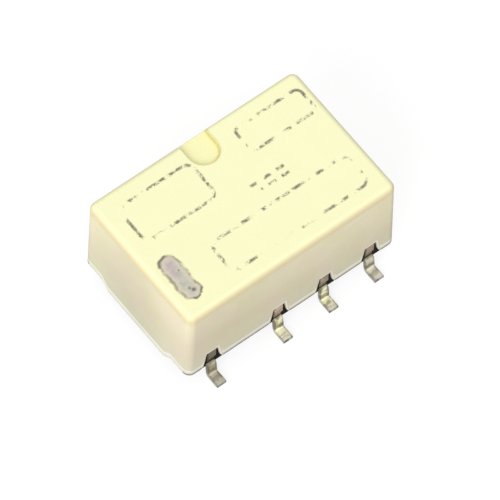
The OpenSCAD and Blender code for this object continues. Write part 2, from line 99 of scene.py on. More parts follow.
# The terminals: their tips, the length of a foot's flat and where it starts, their width, their
# places along the case
TIP_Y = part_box("rear_coil_terminal")[1].y / MM
FOOT_L = 0.52
FOOT_Y = TIP_Y - FOOT_L
LEAD_W = 0.44
COIL_PITCH = 3.2
CONTACT_PITCH = 2.2
COIL_X = -(COIL_PITCH + 2 * CONTACT_PITCH) / 2
LEAD_XS = (COIL_X, COIL_X + COIL_PITCH, COIL_X + COIL_PITCH + CONTACT_PITCH, -COIL_X)
# Heights where the upright part's finish sets in over the foot's, and the shoulders' painted shadow
UPRIGHT_Z = (0.18, 0.26)
SHOULDER_SHADOW_Z = (0.70, 0.80)

# The case: its top, half its width, and how far in from a long side the upright corners start
TOP_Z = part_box("cover")[1].z / MM
HALF_W = extent("cover").y / 2
CORNER = 0.36

# The case's lower outline: the long sides' edge, the notches over the terminals, the end skirts
SKIRT_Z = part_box("cover")[0].z / MM
EDGE_Z = 0.94
NOTCH_H = 0.89
NOTCH_TOP_W = 0.54
NOTCH_LOW_W = 0.8
NOTCH_R = 0.18
SKIRT_W = 3.5
SKIRT_FLARE = 0.4
# How much thinner the rim's lines are beside a notch than under the long sides
BESIDE_NOTCH = 2.2

# The gate recess in the top's rear edge: its radius, its centre's distance from the rear side, the
# depths between which its floor is passed, and the depth and place by which its edges are picked
GATE_R = 0.66
GATE_INSET = 0.8
GATE_PASSED = (0.18, 0.22)
GATE_D = 0.3
GATE_Y = 1.5

# The base's lugs in the notches: from where they show, their width, and the heights between which
# the lugs' brown, painted on the resin under them for their lower edges in shade, sets in
LUG_Y = 2.85
LUG_W = 0.36
LUG_BROWN_Z = (0.86, 0.96)

# Where edges are rounded: an edge turns by more than SHARP degrees. The case is rounded under
# RIM_TOP_Z, the base low at its sides and high away from its middle, and the carrier everywhere
# but at the skins over the springs' slots
SHARP = 35
RIM_TOP_Z = 2.2
BASE_SIDE_Z = 1.2
BASE_SIDE_Y = 2.5
BASE_TOP_Z = 3.0
BASE_MIDDLE_X = 1.5
CARRIER_SKIN_X = 0.75
CARRIER_SKIN_Y = 2.2
BEVEL_STEPS = 3
# Faces that lie flatter to each other than this many degrees are made one
FLAT = 0.6

# Worn print on the top: frames by middle, half size and corner radius, two rows of dashes by their
# middle, half their length, their places across and their dashes per millimetre, and the distances
# from a stroke's middle between which its ink fades
FRAMES = (
    ((0.95, -1.70), (3.25, 0.75), 0.35),
    ((3.00, 1.85), (1.55, 0.60), 0.25),
    ((-2.45, 1.45), (1.70, 0.90), 0.35),
)
DASHES_X = 1.3
DASHES_L = 1.05
DASHES_Y = (-0.25, 0.1)
DASHES_PER_MM = 1.6
STROKE = (0.03, 0.10)

# The polarity mark's stains and the heavy parts of its edge, from its middle, with a radius. Its
# edge lies inside the field by MARK_INSET and wanders by MARK_RAGGED in all
MARK_SPOTS = ((0.14, 0.28, 0.06), (0.0, -0.575, 0.14), (0.08, -0.69, 0.14), (-0.37, 0.15, 0.09))
MARK_HEAVY = ((-0.25, 1.05, 0.55), (-0.45, 0.0, 0.2), (0.38, -0.98, 0.28), (0.0, -1.1, 0.35))
MARK_INSET = 0.05
MARK_RAGGED = 0.26

# Tints, by which the red, green and blue of a colour are made darker or lighter
MARK_GREEN = (0.76, 0.84, 0.80)
MARK_LILAC = (0.90, 0.80, 0.87)
MARK_MOTTLE = (1.15, 1.15, 1.08)
MARK_BORDER = (1.20, 1.15, 0.98)
# The walls' low tint is painted shade, darker low down
WALL_LOW_SHADE = (0.78, 0.84, 0.86)
WALL_MIDDLE = (0.86, 0.85, 0.86)
WALL_HIGH = (1.00, 1.01, 0.98)
WALL_GREEN = (0.955, 0.99, 0.90)
WALL_PINK = (1.00, 0.945, 1.01)
# The tan band under the top's edge is painted shade
TOP_BAND_SHADE = (0.91, 0.79, 0.76)
GATE_FLOOR = (1.0, 0.99, 0.86)
# The gate's flank tint is painted shade, and its line tint a painted shadow line
GATE_FLANK_SHADE = (1.0, 0.90, 0.66)
GATE_SHADOW_LINE = (0.66, 0.62, 0.45)
LUG_DEEP = (0.75, 0.76, 0.70)
LUG_PALE = (1.15, 1.16, 1.05)
LUG_OUTER = (0.13, 0.165, 0.10)
TIN_COOL = (0.80, 0.79, 0.78)
TIN_WARM = (1, 1, 0.82)
TIN_UPRIGHT = (0.50, 0.48, 0.42)
# Painted shade on each strip's right half
TIN_RIGHT_SHADE = (0.62, 0.56, 0.40)
TIN_OLIVE = (0.38, 0.33, 0.19)
TIN_MIDDLE = (0.46, 0.42, 0.34)
TIN_TIP = (0.66, 0.64, 0.70)
TIN_COIL = (0.32, 0.28, 0.21)
# Painted shadow on the shoulders under the lugs
TIN_SHOULDER_SHADOW = (0.18, 0.15, 0.10)
# Painted shade over the bends
TIN_BEND_SHADE = (0.22, 0.19, 0.12)
TIN_SHEARED = (0.12, 0.10, 0.07)

# Colours of lines and stains; the rim's lines are a painted highlight and painted shade
BLACK = (0, 0, 0)
RIM_HIGHLIGHT = (1.0, 0.975, 0.86)
RIM_SHADE = (0.13, 0.125, 0.115)
CUT_GREY = (0.09, 0.088, 0.08)

# Colours of what the case hides: between which two a finish changes, and its stains
BOBBIN_WHITES = ((0.74, 0.72, 0.64), (0.82, 0.81, 0.75))
IRON_GREYS = ((0.50, 0.51, 0.52), (0.66, 0.67, 0.68))
IRON_STAIN = (0.40, 0.36, 0.31)
MAGNET_GREYS = ((0.055, 0.055, 0.060), (0.16, 0.16, 0.17))
CARRIER_CREAMS = ((0.62, 0.54, 0.34), (0.70, 0.63, 0.42))
CARRIER_FIBRE = (0.82, 0.77, 0.60)
BRONZES = ((0.58, 0.34, 0.13), (0.74, 0.48, 0.20))
BRONZE_TARNISH = (0.36, 0.20, 0.09)
SILVERS = ((0.86, 0.86, 0.85), (0.55, 0.50, 0.42))


class RelaySizes(bpy.types.PropertyGroup):
    """Sizes that a user may change."""

    rim: bpy.props.FloatProperty(
        name="Case rim", description="Rounding of the case's lower rim and notches, in micrometres",
        default=55, min=4, max=60)
    gate_edge: bpy.props.FloatProperty(
        name="Gate edge", description="Rounding of the gate recess's edges, in micrometres",
        default=25, min=4, max=30)
    strip_edge: bpy.props.FloatProperty(
        name="Strip edge", description="Rounding of the terminals' edges, in micrometres",
        default=20, min=2, max=40)
    moulded_edge: bpy.props.FloatProperty(
        name="Moulded edge",
        description="Rounding of the base's, bobbin's and carrier's edges, in micrometres",
        default=18, min=2, max=40)
    iron_edge: bpy.props.FloatProperty(
        name="Iron edge",
        description="Rounding of the core's, magnet's and armature's edges, in micrometres",
        default=15, min=2, max=40)


class RelayColours(bpy.types.PropertyGroup):
    """Colours that a user may change."""

    # The case's top and walls are one plastic, painted lit on the top and shaded on the walls
    ivory: bpy.props.FloatVectorProperty(
        name="Case top", description="Moulded plastic of the case's top", subtype="COLOR", size=3,
        default=(0.985, 0.980, 0.600), min=0, max=1)
    wall: bpy.props.FloatVectorProperty(
        name="Case walls", description="Moulded plastic of the case's walls", subtype="COLOR",
        size=3, default=(1.000, 0.910, 0.655), min=0, max=1)
    ink: bpy.props.FloatVectorProperty(
        name="Ink", description="Printed strokes on the case", subtype="COLOR", size=3,
        default=(0.150, 0.125, 0.085), min=0, max=1)
    mark: bpy.props.FloatVectorProperty(
        name="Polarity mark", description="Printed field of the polarity mark", subtype="COLOR",
        size=3, default=(0.600, 0.565, 0.500), min=0, max=1)
    base: bpy.props.FloatVectorProperty(
        name="Base", description="Moulded plastic of the base", subtype="COLOR", size=3,
        default=(0.560, 0.415, 0.330), min=0, max=1)
    resin: bpy.props.FloatVectorProperty(
        name="Resin", description="Sealing resin", subtype="COLOR", size=3,
        default=(0.010, 0.008, 0.006), min=0, max=1)
    tin: bpy.props.FloatVectorProperty(
        name="Tin", description="Plating of the terminals", subtype="COLOR", size=3,
        default=(0.990, 0.970, 0.820), min=0, max=1)
    copper: bpy.props.FloatVectorProperty(
        name="Copper", description="Enamelled copper wire", subtype="COLOR", size=3,
        default=(0.560, 0.200, 0.070), min=0, max=1)


class RelayStudio(bpy.types.PropertyGroup):
    """The camera and the lights."""

    azimuth: bpy.props.FloatProperty(
        name="Azimuth", description="Where the camera stands round the relay", subtype="ANGLE",
        default=math.radians(-40.1))
    elevation: bpy.props.FloatProperty(
        name="Elevation", description="How high the camera stands", subtype="ANGLE",
        default=math.radians(60.7))
    roll: bpy.props.FloatProperty(
        name="Roll", description="Turn of the picture", subtype="ANGLE",
        default=math.radians(2.8))
    distance: bpy.props.FloatProperty(
        name="Distance", description="From the camera to the relay, in millimetres", default=350)
    scale: bpy.props.FloatProperty(
        name="Scale", description="Pixels of the photograph for one millimetre", default=26.3)
    sky: bpy.props.FloatProperty(
        name="Sky", description="Level of the light from all round", default=0.72)
    lamp: bpy.props.FloatProperty(
        name="Lamp", description="Level of the soft lamp on what faces it", default=0.57)


class Value:
    """A shader socket. Python's operators on it add Math nodes."""

    def __init__(self, nodes, socket):
        self.nodes, self.socket = nodes, socket

    def math(self, operation, *operands):
        """Adds a Math node with this operation on values or numbers."""
        inputs = dict(enumerate(operands))
        return self.nodes.node("ShaderNodeMath", {"operation": operation}, inputs)

    def __add__(self, other):
        return self.math("ADD", self, other)

    def __radd__(self, other):
        return self.math("ADD", other, self)

    def __sub__(self, other):
        return self.math("SUBTRACT", self, other)

    def __rsub__(self, other):
        return self.math("SUBTRACT", other, self)

    def __mul__(self, other):
        return self.math("MULTIPLY", self, other)

    def __rmul__(self, other):
        return self.math("MULTIPLY", other, self)

    def __truediv__(self, other):
        return self.math("DIVIDE", self, other)

    def __abs__(self):
        return self.math("ABSOLUTE", self)

    def __lt__(self, other):
        return self.math("LESS_THAN", self, other)

    def least(self, other):
        """The lesser of two values."""
        return self.math("MINIMUM", self, other)

    def most(self, other):
        """The greater of two values."""
        return self.math("MAXIMUM", self, other)

    def root(self):
        """The square root."""
        return self.math("SQRT", self)

    def part(self):
        """What is left over the whole number below."""
        return self.math("FRACT", self)


class Nodes:
    """A shader's node tree in the making."""

    def __init__(self, tree):
        self.tree = tree
        tree.nodes.clear()

    def node(self, kind, settings, inputs, output=0):
        """Adds a node: its settings first, then the values or links of its sockets."""
        made = self.tree.nodes.new(kind)
        for name, setting in settings.items():
            setattr(made, name, setting)
        for name, value in inputs.items():
            socket = made.inputs[name]
            if isinstance(value, Value):
                self.tree.links.new(value.socket, socket)
            elif socket.type == "RGBA":
                socket.default_value = (*value[:3], 1)
            else:
                socket.default_value = value
        return Value(self, made.outputs[output]) if made.outputs else None

    def seen(self):
        """1 where the camera, a reflection or a clear body sees this, 0 where it gives light."""
        camera, glossy, clear = (
            self.node("ShaderNodeLightPath", {}, {}, name)
            for name in ("Is Camera Ray", "Is Glossy Ray", "Is Transmission Ray"))
        return camera.most(glossy).most(clear)


class Finish(Nodes):
    """A node material in the making, with its pattern coordinates in millimetres."""

    def __init__(self, name):
        self.material = bpy.data.materials.new(name)
        self.material.use_nodes = True
        super().__init__(self.material.node_tree)
        place = self.node("ShaderNodeTexCoord", {}, {}, "Object")
        self.place = self.node(
            "ShaderNodeVectorMath", {"operation": "SCALE"}, {0: place, "Scale": 1 / MM})
        self.x, self.y, self.z = (
            self.node("ShaderNodeSeparateXYZ", {}, {0: self.place}, axis) for axis in "XYZ")

    def noise(self, size, detail=2, stretch=(1, 1, 1), rough=0.5):
        """A cloudy pattern of 0 to 1 whose features are about this size."""
        place = self.node(
            "ShaderNodeMapping", {}, {"Vector": self.place, "Scale": [1 / s for s in stretch]})
        return self.node(
            "ShaderNodeTexNoise", {},
            {"Vector": place, "Scale": 1 / size, "Detail": detail, "Roughness": rough}, "Fac")

    def clouds(self, size, low, high, detail=2, stretch=(1, 1, 1), rough=0.5):
        """The cloudy pattern set apart: 0 where it is below low, 1 where it is above high."""
        return self.step(self.noise(size, detail, stretch, rough), low, high)

    def cells(self, size):
        """A grain of rounded cells: the distance from each cell's middle."""
        return self.node(
            "ShaderNodeTexVoronoi", {}, {"Vector": self.place, "Scale": 1 / size}, "Distance")

    def step(self, value, low, high):
        """0 below low, 1 above high, smooth between."""
        return self.node(
            "ShaderNodeMapRange", {"interpolation_type": "SMOOTHSTEP"},
            {"Value": value, "From Min": low, "From Max": high, "To Min": 0.0, "To Max": 1.0})

    def fade(self, value, full, none):
        """1 below full, 0 above none, smooth between."""
        return 1 - self.step(value, full, none)

    def band(self, value, rise, fall):
        """0, then 1 from a rise to a fall, then 0, each of them from one value to another."""
        return self.step(value, *rise) * self.fade(value, *fall)

    def mix(self, factor, first, second, blend="MIX"):
        """A colour between two colours, or between one and its product with another."""
        return self.node("ShaderNodeMix", {"data_type": "RGBA", "blend_type": blend},
                         {0: factor, 6: first, 7: second}, 2)

    def bump(self, height, depth, normal=None):
        """A normal bent by a height of 0 to 1, as deep as given."""
        inputs = {"Height": height, "Distance": depth * MM, "Strength": 1.0}
        if normal is not None:
            inputs["Normal"] = normal
        return self.node("ShaderNodeBump", {}, inputs)

    def end(self, shader):
        """Ends the material with a shader."""
        self.node("ShaderNodeOutputMaterial", {}, {"Surface": shader})
        return self.material

    def surface(self, **sockets):
        """Ends the material with the main shader, its sockets named with underscores."""
        inputs = {name.replace("_", " ").title().replace("Ior", "IOR"): value
                  for name, value in sockets.items()}
        return self.end(self.node("ShaderNodeBsdfPrincipled", {}, inputs))

    def spots(self, spots, centre, soft, ragged):
        """Soft uneven spots seen from above, each by its place from a centre and its radius."""
        together = None
        for x, y, radius in spots:
            x, y = self.x - (centre[0] + x), self.y - (centre[1] + y)
            spot = self.fade((x * x + y * y).root() + ragged, radius * soft, radius)
            together = spot if together is None else together.most(spot)
        return together

    def box_edge(self, centre, half, radius):
        """Distance from a rounded rectangle's edge on the top, negative inside it."""
        x = (abs(self.x - centre[0]) - (half[0] - radius)).most(0)
        y = (abs(self.y - centre[1]) - (half[1] - radius)).most(0)
        return (x * x + y * y).root() - radius

    def beside_lead(self):
        """Distance along the relay from the middle of the nearest terminal."""
        lead = abs(self.x - LEAD_XS[0])
        for x in LEAD_XS[1:]:
            lead = lead.least(abs(self.x - x))
        return lead

    def across_lead(self):
        """Distance along the relay from the middle of the terminal here, negative before it."""
        across = None
        for x in LEAD_XS:
            near = (self.x - x) * (abs(self.x - x) < LEAD_W)
            across = near if across is None else across + near
        return across

    def on_long_side(self, soft):
        """1 on the long sides and 0 on the ends, with a change as wide as soft at the corners."""
        return self.step(abs(self.y), HALF_W - CORNER, HALF_W - CORNER + soft)


def shade(colour, factor):
    """A colour made darker or lighter."""
    return [min(1, c * factor) for c in colour]


def tinted(colour, tint):
    """A colour with each of its channels made darker or lighter."""
    return [min(1, c * factor) for c, factor in zip(colour, tint)]


def over_rim(f):
    """Height over the case's lower outline, which runs round the notches and the end skirts."""
    over_edge = f.z - EDGE_Z
    slope = (NOTCH_LOW_W - NOTCH_TOP_W) / (2 * NOTCH_H)
    beside = (f.beside_lead() - NOTCH_LOW_W / 2 + over_edge * slope) * BESIDE_NOTCH
    beside = beside.most(over_edge - NOTCH_H)
    round_x = (NOTCH_R - over_edge).most(0)
    round_z = (NOTCH_R - beside).most(0)
    corner = NOTCH_R - (round_x * round_x + round_z * round_z).root()
    long_side = corner + (over_edge.least(beside) - NOTCH_R).most(0)
    skirt = (abs(f.y) - SKIRT_W / 2) / SKIRT_FLARE
    end = f.z - SKIRT_Z - (EDGE_Z - SKIRT_Z) * skirt.most(0).least(1)
    on_side = f.on_long_side(0.06)
    return end + (long_side - end) * on_side, on_side


def rim_lines(f, colour):
    """A colour with a pale painted highlight along the case's lower rim and the notches' edges,
    over a painted line of shade.
    """
    rim, on_side = over_rim(f)
    over_edge = f.z - EDGE_Z
    notch = f.step(over_edge, 0.08, 0.20) * on_side
    # A pale painted highlight along the rim and along the notches' edges
    lit = f.band(rim, (0.18, 0.25), (0.33, 0.42)) * f.fade(over_edge, 0.35, 0.65)
    lit = lit.most(f.fade(rim, 0.14, 0.28) * (1 - on_side) * 0.7)
    lit = lit.most(f.fade(rim, 0.07, 0.18) * notch * 0.85)
    lit = lit * (0.8 + 0.2 * f.clouds(1.1, 0.4, 0.6))
    # A painted line of shade under the pale one
    under = f.fade(rim, 0.12, 0.19) * (on_side - notch)
    under = under.most(f.fade(rim, 0.04, 0.13) * (1 - on_side) * 0.5)
    return f.mix(under * 0.9, f.mix(lit, colour, RIM_HIGHLIGHT), RIM_SHADE)


def gate_distance(f):
    """Distance from the gate recess's outline, negative inside it. It grows below its floor."""
    x, y = f.x, (f.y - (HALF_W - GATE_INSET)).least(0)
    return (x * x + y * y).root() - GATE_R + f.step(TOP_Z - f.z, *GATE_PASSED)


def painted_gate_shade(f, colours, colour):
    """A colour with painted shade, in a warm tone, on the gate recess's steep right side, and a
    painted shadow line along it.
    """
    away = gate_distance(f) + (f.noise(0.4) - 0.5) * 0.05
    right = f.step(f.x, -0.35, 0.35)
    flank = f.band(away, (-0.22, -0.08), (0.0, 0.03)) * right
    line = f.fade(abs(away + 0.02), 0.02, 0.09) * right
    colour = f.mix(flank * 0.5, colour, tinted(colours.ivory, GATE_FLANK_SHADE))
    return f.mix(line * 0.75, colour, tinted(colours.ivory, GATE_SHADOW_LINE))


def worn_strokes(f):
    """Thin ruled frames and dashes, worn through in places."""
    ragged = (f.noise(0.15) - 0.5) * 0.06
    strokes = None
    for centre, half, radius in FRAMES:
        line = f.fade(abs(f.box_edge(centre, half, radius) + ragged), *STROKE)
        strokes = line if strokes is None else strokes.most(line)
    dash = f.step(abs((f.x * DASHES_PER_MM).part() - 0.5), 0.18, 0.26)
    dash = dash * f.fade(abs(f.x - DASHES_X), DASHES_L - 0.02, DASHES_L + 0.02)
    for y in DASHES_Y:
        strokes = strokes.most(f.fade(abs(f.y - y + ragged), *STROKE) * dash)
    return strokes * f.clouds(0.5, 0.46, 0.58, detail=4, rough=0.7)


def printed_mark(f, colours, ground):
    """A ground colour with the mottled, ragged polarity mark on it, and where the mark is."""
    centre, size = middle("polarity_mark"), extent("polarity_mark")
    half = (size.x / 2 - MARK_INSET, size.y / 2 - MARK_INSET)
    ragged = (f.noise(0.34) - 0.5) * MARK_RAGGED
    away = f.box_edge(centre, half, half[0] - 0.01) + ragged
    inside = f.fade(away, -0.05, 0.05)
    border = f.step(away, -0.30, -0.04)
    heavy = f.spots(MARK_HEAVY, centre, 0.4, ragged)
    line = f.fade(abs(away), 0.01, 0.10) * (0.25 + 0.45 * f.clouds(0.35, 0.38, 0.62)).most(heavy)
    field = f.mix(f.clouds(0.6, 0.42, 0.58), tinted(colours.mark, MARK_GREEN),
                  tinted(colours.mark, MARK_LILAC))
    field = f.mix(f.clouds(0.27, 0.40, 0.60) * 0.5, field, tinted(colours.mark, MARK_MOTTLE))
    field = f.mix(border * 0.8, field, tinted(colours.mark, MARK_BORDER))
    spot = f.spots(MARK_SPOTS, centre, 0.1, ragged * 0.7)
    field = f.mix(spot * 0.8, field, shade(colours.mark, 0.12))
    colour = f.mix(inside, ground, field)
    return f.mix(line * 0.9, colour, colours.ink), line.most(inside)


def moulded_wall(f, colours, cloud):
    """The walls' colour: pale above, pinker in the middle and greyer low down, in soft clouds. The
    darker grey low down is painted shade.
    """
    wall = f.mix(f.step(f.z, 0.8, 2.6), tinted(colours.wall, WALL_LOW_SHADE),
                 tinted(colours.wall, WALL_MIDDLE))
    wall = f.mix(f.step(f.z, 2.2, 4.8), wall, tinted(colours.wall, WALL_HIGH))
    wall = f.mix(cloud * 0.8, wall, WALL_GREEN, "MULTIPLY")
    wall = f.mix(f.clouds(0.7, 0.40, 0.60) * 0.6, wall, WALL_PINK, "MULTIPLY")
    # The long sides darken towards the mark's end above and away from it below, and the ends in
    # their middle
    on_side = f.on_long_side(0.26)
    above = f.step(f.z, 1.6, 3.2)
    dim_side = 0.08 * f.fade(f.x, -3.5, 4.0) * above + 0.05 * f.step(f.x, -4.5, 0.5) * (1 - above)
    dim_end = 0.13 * f.fade(abs(f.y - 0.3), 0.3, 2.6)
    return f.mix(dim_side * on_side + dim_end * (1 - on_side), wall, BLACK)


def moulded_ivory(f, colours):
    """The case's colour: yellow on top, with a tan band under its edge, over paler walls. The top's
    yellow is painted light, and the band and the walls' pinker tone are painted shade of one
    plastic.
    """
    cloud = f.clouds(1.7, 0.41, 0.59)
    band = f.step(f.z, TOP_Z - 0.60, TOP_Z - 0.14)
    wall = f.mix(band, moulded_wall(f, colours, cloud), tinted(colours.ivory, TOP_BAND_SHADE))
    in_gate = gate_distance(f) < 0
    top = f.mix(cloud * 0.5, colours.ivory, shade(colours.ivory, 0.985))
    top = f.mix(in_gate, top, tinted(colours.ivory, GATE_FLOOR))
    flat = f.step(f.z, TOP_Z - 0.13, TOP_Z - 0.01).most(in_gate)
    return f.mix(flat, wall, top)


def ivory_finish(colours):
    """Moulded ivory plastic with a pale painted highlight over painted shade along its lower rim,
    and worn strokes on its top.
    """
    f = Finish("moulded_ivory")
    grain = f.noise(0.05, 3, rough=0.65)
    colour = moulded_ivory(f, colours)
    colour = f.mix(f.step(grain, 0.3, 0.7) * 0.14, colour, shade(colours.wall, 0.7))
    # Painted shade in the gate recess, then the rim's painted highlight and shade
    colour = rim_lines(f, painted_gate_shade(f, colours, colour))
    on_top = f.step(f.z, TOP_Z - 0.04, TOP_Z - 0.02)
    strokes = worn_strokes(f) * on_top
    ink = f.mix(f.clouds(0.12, 0.35, 0.65), shade(colours.ink, 0.7), shade(colours.ink, 2.0))
    colour = f.mix(strokes * 0.9, colour, ink)
    marked, _ = printed_mark(f, colours, colour)
    colour = f.mix(on_top, colour, marked)
    rough = 0.5 + 0.1 * grain - 0.08 * strokes
    normal = f.bump(f.noise(0.35), 0.002, f.bump(grain, 0.0012))
    return f.surface(base_color=colour, roughness=rough, normal=normal, ior=1.5)


def mark_finish(colours):
    """The printed polarity mark, on the plastic that shows past its ragged edge."""
    f = Finish("printed_field")
    colour, printed = printed_mark(f, colours, moulded_ivory(f, colours))
    normal = f.bump(f.noise(0.08, 3), 0.0015)
    return f.surface(base_color=colour, roughness=0.5 + 0.15 * printed, normal=normal)


def lug_colour(f, colours, patch):
    """The lugs' brown: paler at the middle terminals and darker at the outer ones."""
    lug = f.mix(patch, tinted(colours.base, LUG_DEEP), tinted(colours.base, LUG_PALE))
    outer = f.step(abs(f.x - LEAD_XS[1]), 0.8, 3.6) * (0.9 - 0.45 * f.step(f.x, 2.4, 3.2))
    return f.mix(outer, lug, tinted(colours.base, LUG_OUTER))


def base_finish(colours):
    """Brown filled plastic with short fibres and pale flow marks."""
    f = Finish("filled_brown")
    fibre = f.noise(0.05, 3, stretch=(6, 1, 1))
    cloud = f.noise(0.45, 3)
    patch = f.step(cloud, 0.38, 0.62)
    inner = f.mix(patch, shade(colours.base, 0.45), shade(colours.base, 0.60))
    on_lug = f.step(abs(f.y), LUG_Y, LUG_Y + 0.05)
    colour = f.mix(on_lug, inner, lug_colour(f, colours, patch))
    colour = f.mix(f.step(fibre, 0.6, 0.75) * 0.25, colour, shade(colours.base, 1.4))
    normal = f.bump(fibre, 0.003, f.bump(f.noise(0.03), 0.0015))
    return f.surface(base_color=colour, roughness=0.5 + 0.15 * cloud, normal=normal)


def resin_finish(colours):
    """Black cast resin, matt, with a soft flow and dull patches; in the notches beside the lugs its
    black is also a painted shadow. Under the lugs it is painted in the lugs' brown, for their
    lower edges in shade.
    """
    f = Finish("cast_resin")
    dull = f.clouds(0.6, 0.5, 0.75, detail=3)
    # In the notches beside the lugs the resin's black is also a painted shadow
    colour = f.mix(dull, colours.resin, shade(colours.resin, 2.5))
    under = f.fade(f.beside_lead(), LUG_W / 2 - 0.04, LUG_W / 2 + 0.02)
    brown = lug_colour(f, colours, f.clouds(0.45, 0.38, 0.62, detail=3))
    # The lugs' brown painted on the resin under them, for their lower edges in shade
    colour = f.mix(under * f.step(f.z, *LUG_BROWN_Z) * 0.85, colour, brown)
    normal = f.bump(f.noise(0.5), 0.02, f.bump(f.noise(0.06), 0.001))
    return f.surface(base_color=colour, roughness=0.6 + 0.2 * dull, specular_ior_level=0.03,
                     normal=normal)


def tin_finish(colours):
    """Dull tin plating, creamy at the middle terminals and greyer at the outer ones. It has random
    stains and darker middles of the feet, painted shade over the bends and on each strip's right
    half, a painted shadow on the shoulders under the lugs, sheared sides darkened partly as bare
    cut edge and partly by painted shade, and a painted highlight where each foot starts."""
    f = Finish("tin_plating")
    across = f.across_lead()
    streak = f.noise(0.035, 3, stretch=(1, 7, 7))
    cloud = f.noise(0.26, 1)
    uneven = cloud - 0.5
    stain = f.step(cloud, 0.50, 0.62)
    height = f.z + uneven * 0.2
    upright = f.step(f.z, *UPRIGHT_Z)
    foot_y = abs(f.y) - FOOT_Y + uneven * 0.2
    # Where stains and painted shade go: all but the foot's start by the bend, a painted highlight
    off_highlight = 1 - f.fade(foot_y, 0.08, 0.18) * (1 - upright)
    warm = f.fade(abs(f.x - (LEAD_XS[1] + LEAD_XS[2]) / 2), 1.6, 2.6)
    coil = f.fade(f.x, COIL_X + LEAD_W, COIL_X + 2 * LEAD_W)
    # Painted shade on each strip's right half
    right_shade = f.step(across + uneven * 0.5, 0.0, 0.16)
    # Darker sheared sides: partly bare cut edge, partly painted shade
    sheared = f.step(abs(across) + uneven * 0.14, LEAD_W / 2 - 0.09, LEAD_W / 2 - 0.02)
    middle_foot = f.band(foot_y, (0.12, 0.22), (0.34, 0.48)) * (1 - upright)
    tip = f.step(abs(f.y) + uneven * 0.6, TIP_Y - 0.34, TIP_Y - 0.08)
    # Painted shade over the bends
    bend_shade = f.band(height, (0.21, 0.27), (0.40, 0.52))
    cut = f.step(abs(f.y), TIP_Y - 0.035, TIP_Y - 0.015)
    colour = f.mix(warm, tinted(colours.tin, TIN_COOL), tinted(colours.tin, TIN_WARM))
    for factor, tint in (
            (upright * (1 - warm) * 0.5, TIN_UPRIGHT),
            (right_shade * off_highlight * 0.6, TIN_RIGHT_SHADE),
            (stain * off_highlight * 0.7, TIN_OLIVE),
            (middle_foot * (0.25 + 0.5 * f.clouds(0.13, 0.42, 0.58, detail=1)), TIN_MIDDLE),
            (tip * 0.6, TIN_TIP),
            (coil * 0.38, TIN_COIL),
            # Painted shadow on the shoulders under the lugs
            (f.step(height, *SHOULDER_SHADOW_Z) * 0.8, TIN_SHOULDER_SHADOW),
            (bend_shade * (0.95 - 0.15 * warm), TIN_BEND_SHADE),
            (sheared * (0.5 + 0.3 * upright), TIN_SHEARED)):
        colour = f.mix(factor, colour, tinted(colours.tin, tint))
    colour = f.mix(f.step(streak, 0.35, 0.75) * 0.12, colour, shade(colours.tin, 0.6))
    colour = f.mix(cut * (0.5 + 0.5 * f.step(cloud, 0.4, 0.6)), colour, CUT_GREY)
    rough = 0.3 + 0.15 * stain + 0.1 * streak + 0.2 * cut
    normal = f.bump(streak, 0.0012, f.bump(cloud, 0.008))
    return f.surface(base_color=colour, metallic=0.10 + 0.40 * stain, roughness=rough,
                     normal=normal)


def bobbin_finish(_):
    """White moulded plastic."""
    f = Finish("moulded_white")
    cloud = f.clouds(0.7, 0.3, 0.7, detail=3)
    colour = f.mix(cloud, *BOBBIN_WHITES)
    normal = f.bump(f.noise(0.04, 3), 0.0015)
    return f.surface(base_color=colour, roughness=0.45 + 0.1 * cloud, normal=normal)


def copper_finish(colours):
    """Enamelled copper wire, with darker lacquer here and there."""
    f = Finish("enamelled_copper")
    lacquer = f.clouds(0.25, 0.4, 0.7, detail=3, stretch=(0.3, 1, 1))
    colour = f.mix(lacquer, colours.copper, shade(colours.copper, 0.6))
    normal = f.bump(f.noise(0.03, stretch=(1, 5, 5)), 0.0008)
    return f.surface(base_color=colour, metallic=0.85, roughness=0.24 + 0.16 * lacquer,
                     coat_weight=0.4, normal=normal)


def iron_finish(_):
    """Plated soft iron, ground along its length, with light staining."""
    f = Finish("plated_iron")
    ground = f.noise(0.02, 3, stretch=(18, 1, 1))
    stain = f.clouds(0.6, 0.5, 0.75, detail=4)
    colour = f.mix(ground, *IRON_GREYS)
    colour = f.mix(stain * 0.5, colour, IRON_STAIN)
    normal = f.bump(ground, 0.001)
    return f.surface(base_color=colour, metallic=1.0, roughness=0.28 + 0.2 * stain, normal=normal)


def magnet_finish(_):
    """Dark sintered magnet with bright grains."""
    f = Finish("sintered_magnet")
    grain = f.cells(0.05)
    fleck = f.fade(grain, 0.1, 0.22)
    colour = f.mix(fleck * 0.5, *MAGNET_GREYS)
    normal = f.bump(grain, 0.004)
    return f.surface(base_color=colour, metallic=0.55, roughness=0.4 + 0.25 * grain, normal=normal)


def carrier_finish(_):
    """Cream moulded plastic of the armature's carrier."""
    f = Finish("moulded_cream")
    cloud = f.clouds(0.5, 0.3, 0.7, detail=3)
    fibre = f.clouds(0.04, 0.58, 0.74, detail=3, stretch=(5, 1, 1))
    colour = f.mix(cloud, *CARRIER_CREAMS)
    colour = f.mix(fibre * 0.3, colour, CARRIER_FIBRE)
    normal = f.bump(f.noise(0.035, 3), 0.0015)
    return f.surface(base_color=colour, roughness=0.5 + 0.12 * cloud, normal=normal)


def bronze_finish(_):
    """Rolled spring strip, lightly tarnished."""
    f = Finish("rolled_bronze")
    rolled = f.noise(0.012, 3, stretch=(30, 1, 1))
    tarnish = f.clouds(0.4, 0.48, 0.75, detail=3)
    colour = f.mix(rolled, *BRONZES)
    colour = f.mix(tarnish * 0.4, colour, BRONZE_TARNISH)
    normal = f.bump(rolled, 0.0006)
    return f.surface(base_color=colour, metallic=1.0, roughness=0.22 + 0.18 * tarnish,
                     normal=normal)


